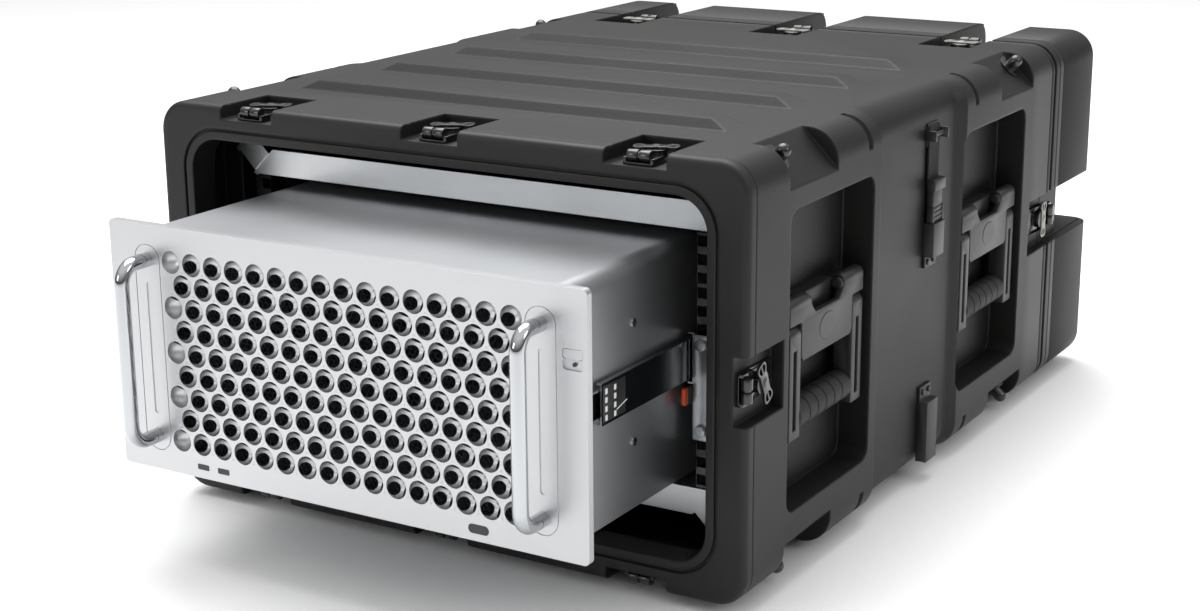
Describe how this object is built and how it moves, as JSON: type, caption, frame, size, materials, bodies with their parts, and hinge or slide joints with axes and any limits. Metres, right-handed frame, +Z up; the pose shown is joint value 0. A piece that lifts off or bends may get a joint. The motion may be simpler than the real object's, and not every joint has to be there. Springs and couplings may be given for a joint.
{
  "type": "equipment rack case",
  "caption": "Moulded shock-mounted rack case with a slide-out equipment unit, rear lid, twist latches, sprung side handles and buckled straps",
  "frame": {"origin": "middle of the footprint, on the plane that the underside ribs stand on, with the unit drawn out as far as it is here", "axes": "+X to the right seen from the front, +Y from the front to the rear lid, +Z up"},
  "size_m": [0.617, 1.0345, 0.3933],
  "materials": {
    "shell_black": "fine moulded grain, matt",
    "gasket_black": "matt",
    "hardware_black": "smooth, slightly glossy",
    "handle_black": "fine grain",
    "grip_rubber": "matt, ribbed",
    "mount_rubber": "matt",
    "frame_aluminium": "brushed along the length",
    "panel_aluminium": "fine bead-blasted, anodised",
    "housing_aluminium": "fine bead-blasted, anodised",
    "bright_chrome": "polished",
    "slide_zinc": "bright zinc plate",
    "slide_black": "glossy black",
    "screw_zinc": "zinc plate",
    "lever_orange": "smooth",
    "mesh_dark": "matt black",
    "insert_dark": "smooth",
    "webbing_black": "woven",
    "wing_grey": "satin"
  },
  "bodies": {
    "case": {"case_shell": "shell_black", "corner_washers": "hardware_black", "corner_nuts": "hardware_black", "shock_mounts": "mount_rubber", "mount_brackets": "frame_aluminium", "cross_plates_front": "frame_aluminium", "cross_plates_rear": "frame_aluminium", "frame_sides": "frame_aluminium", "rails_front": "slide_black", "rails_rear": "slide_black", "slide_outers": "slide_zinc", "slide_brackets": "slide_zinc", "slide_bracket_screws": "screw_zinc", "handle_plates": "handle_black", "latch_bases": "hardware_black", "latch_claws": "hardware_black", "strap_fittings": "handle_black", "strap_webbing": "webbing_black"},
    "rear_lid": {"rear_lid_shell": "shell_black", "lid_gasket": "gasket_black", "lid_keepers": "hardware_black"},
    "slide_mids": {"slide_mids": "slide_black"},
    "unit": {"unit_tub": "housing_aluminium", "unit_cover": "housing_aluminium", "front_panel": "panel_aluminium", "grille_mesh": "mesh_dark", "panel_handles": "bright_chrome", "slide_inners": "slide_zinc", "unit_screws": "screw_zinc", "panel_inserts": "insert_dark"},
    "power_key": {"power_key": "panel_aluminium"},
    "release_lever_left": {"release_lever_left": "lever_orange"},
    "release_lever_right": {"release_lever_right": "lever_orange"},
    "strap_clip_left": {"strap_clip_left": "handle_black"},
    "strap_clip_right": {"strap_clip_right": "handle_black"},
    "handle_front_left": {"handle_bail_front_left": "handle_black", "handle_grip_front_left": "grip_rubber"},
    "handle_front_right": {"handle_bail_front_right": "handle_black", "handle_grip_front_right": "grip_rubber"},
    "handle_rear_left": {"handle_bail_rear_left": "handle_black", "handle_grip_rear_left": "grip_rubber"},
    "handle_rear_right": {"handle_bail_rear_right": "handle_black", "handle_grip_rear_right": "grip_rubber"},
    "latch_wing_front_top_left": {"latch_wing_front_top_left": "hardware_black"},
    "latch_wing_front_under_left": {"latch_wing_front_under_left": "hardware_black"},
    "latch_wing_front_top_middle": {"latch_wing_front_top_middle": "hardware_black"},
    "latch_wing_front_under_middle": {"latch_wing_front_under_middle": "hardware_black"},
    "latch_wing_front_top_right": {"latch_wing_front_top_right": "hardware_black"},
    "latch_wing_front_under_right": {"latch_wing_front_under_right": "hardware_black"},
    "latch_wing_front_side_left": {"latch_wing_front_side_left": "hardware_black"},
    "latch_wing_front_side_right": {"latch_wing_front_side_right": "hardware_black"},
    "latch_wing_rear_top_left": {"latch_wing_rear_top_left": "wing_grey"},
    "latch_wing_rear_under_left": {"latch_wing_rear_under_left": "wing_grey"},
    "latch_wing_rear_top_middle": {"latch_wing_rear_top_middle": "wing_grey"},
    "latch_wing_rear_under_middle": {"latch_wing_rear_under_middle": "wing_grey"},
    "latch_wing_rear_top_right": {"latch_wing_rear_top_right": "wing_grey"},
    "latch_wing_rear_under_right": {"latch_wing_rear_under_right": "wing_grey"},
    "latch_wing_rear_side_left": {"latch_wing_rear_side_left": "wing_grey"},
    "latch_wing_rear_side_right": {"latch_wing_rear_side_right": "wing_grey"}
  },
  "joints": [
    {"name": "slide_middle_travel", "type": "slide", "parent": "case", "child": "slide_mids", "axis": [0, -1, 0], "range_m": [-0.148, 0.102]},
    {"name": "unit_travel", "type": "slide", "parent": "slide_mids", "child": "unit", "axis": [0, -1, 0], "range_m": [-0.028, 0.206]},
    {"name": "rear_lid_pull", "type": "slide", "parent": "case", "child": "rear_lid", "axis": [0, 1, 0], "range_m": [0, 0.2]},
    {"name": "power_key_press", "type": "slide", "parent": "unit", "child": "power_key", "axis": [0, 1, 0], "range_m": [0, 0.0012], "stiffness_N_per_m": 800},
    {"name": "release_lever_left_swing", "type": "hinge", "parent": "case", "child": "release_lever_left", "pos_m": [-0.221, -0.27075, 0.1678], "axis": [0, 0, 1], "range_deg": [0, 8], "stiffness_Nm_per_rad": 0.5},
    {"name": "strap_clip_left_lift", "type": "slide", "parent": "case", "child": "strap_clip_left", "axis": [0, 0, 1], "range_m": [0, 0.02], "deforming": ["strap_webbing"]},
    {"name": "release_lever_right_swing", "type": "hinge", "parent": "case", "child": "release_lever_right", "pos_m": [0.221, -0.27075, 0.1678], "axis": [0, 0, -1], "range_deg": [0, 8], "stiffness_Nm_per_rad": 0.5},
    {"name": "strap_clip_right_lift", "type": "slide", "parent": "case", "child": "strap_clip_right", "axis": [0, 0, 1], "range_m": [0, 0.02], "deforming": ["strap_webbing"]},
    {"name": "handle_front_left_swing", "type": "hinge", "parent": "case", "child": "handle_front_left", "pos_m": [-0.2915, -0.18175, 0.21865], "axis": [0, 1, 0], "range_deg": [0, 90], "stiffness_Nm_per_rad": 0.3, "springref_deg": -11.46},
    {"name": "handle_front_right_swing", "type": "hinge", "parent": "case", "child": "handle_front_right", "pos_m": [0.2915, -0.18175, 0.21865], "axis": [0, -1, 0], "range_deg": [0, 90], "stiffness_Nm_per_rad": 0.3, "springref_deg": -11.46},
    {"name": "handle_rear_left_swing", "type": "hinge", "parent": "case", "child": "handle_rear_left", "pos_m": [-0.2915, 0.20275, 0.21865], "axis": [0, 1, 0], "range_deg": [0, 90], "stiffness_Nm_per_rad": 0.3, "springref_deg": -11.46},
    {"name": "handle_rear_right_swing", "type": "hinge", "parent": "case", "child": "handle_rear_right", "pos_m": [0.2915, 0.20275, 0.21865], "axis": [0, -1, 0], "range_deg": [0, 90], "stiffness_Nm_per_rad": 0.3, "springref_deg": -11.46},
    {"name": "latch_wing_front_top_left_turn", "type": "hinge", "parent": "case", "child": "latch_wing_front_top_left", "pos_m": [-0.202, -0.30475, 0.3718], "axis": [0, 0, 1], "range_deg": [0, 120]},
    {"name": "latch_wing_front_under_left_turn", "type": "hinge", "parent": "case", "child": "latch_wing_front_under_left", "pos_m": [-0.202, -0.30475, 0.0215], "axis": [0, 0, -1], "range_deg": [0, 120]},
    {"name": "latch_wing_front_top_middle_turn", "type": "hinge", "parent": "case", "child": "latch_wing_front_top_middle", "pos_m": [0, -0.30475, 0.3718], "axis": [0, 0, 1], "range_deg": [0, 120]},
    {"name": "latch_wing_front_under_middle_turn", "type": "hinge", "parent": "case", "child": "latch_wing_front_under_middle", "pos_m": [0, -0.30475, 0.0215], "axis": [0, 0, -1], "range_deg": [0, 120]},
    {"name": "latch_wing_front_top_right_turn", "type": "hinge", "parent": "case", "child": "latch_wing_front_top_right", "pos_m": [0.202, -0.30475, 0.3718], "axis": [0, 0, 1], "range_deg": [0, 120]},
    {"name": "latch_wing_front_under_right_turn", "type": "hinge", "parent": "case", "child": "latch_wing_front_under_right", "pos_m": [0.202, -0.30475, 0.0215], "axis": [0, 0, -1], "range_deg": [0, 120]},
    {"name": "latch_wing_front_side_left_turn", "type": "hinge", "parent": "case", "child": "latch_wing_front_side_left", "pos_m": [-0.2928, -0.30475, 0.19665], "axis": [-1, 0, 0], "range_deg": [0, 120]},
    {"name": "latch_wing_front_side_right_turn", "type": "hinge", "parent": "case", "child": "latch_wing_front_side_right", "pos_m": [0.2928, -0.30475, 0.19665], "axis": [1, 0, 0], "range_deg": [0, 120]},
    {"name": "latch_wing_rear_top_left_turn", "type": "hinge", "parent": "case", "child": "latch_wing_rear_top_left", "pos_m": [-0.202, 0.36525, 0.3718], "axis": [0, 0, 1], "range_deg": [0, 120]},
    {"name": "latch_wing_rear_under_left_turn", "type": "hinge", "parent": "case", "child": "latch_wing_rear_under_left", "pos_m": [-0.202, 0.36525, 0.0215], "axis": [0, 0, -1], "range_deg": [0, 120]},
    {"name": "latch_wing_rear_top_middle_turn", "type": "hinge", "parent": "case", "child": "latch_wing_rear_top_middle", "pos_m": [0, 0.36525, 0.3718], "axis": [0, 0, 1], "range_deg": [0, 120]},
    {"name": "latch_wing_rear_under_middle_turn", "type": "hinge", "parent": "case", "child": "latch_wing_rear_under_middle", "pos_m": [0, 0.36525, 0.0215], "axis": [0, 0, -1], "range_deg": [0, 120]},
    {"name": "latch_wing_rear_top_right_turn", "type": "hinge", "parent": "case", "child": "latch_wing_rear_top_right", "pos_m": [0.202, 0.36525, 0.3718], "axis": [0, 0, 1], "range_deg": [0, 120]},
    {"name": "latch_wing_rear_under_right_turn", "type": "hinge", "parent": "case", "child": "latch_wing_rear_under_right", "pos_m": [0.202, 0.36525, 0.0215], "axis": [0, 0, -1], "range_deg": [0, 120]},
    {"name": "latch_wing_rear_side_left_turn", "type": "hinge", "parent": "case", "child": "latch_wing_rear_side_left", "pos_m": [-0.2928, 0.36525, 0.19665], "axis": [-1, 0, 0], "range_deg": [0, 120]},
    {"name": "latch_wing_rear_side_right_turn", "type": "hinge", "parent": "case", "child": "latch_wing_rear_side_right", "pos_m": [0.2928, 0.36525, 0.19665], "axis": [1, 0, 0], "range_deg": [0, 120]}
  ]
}
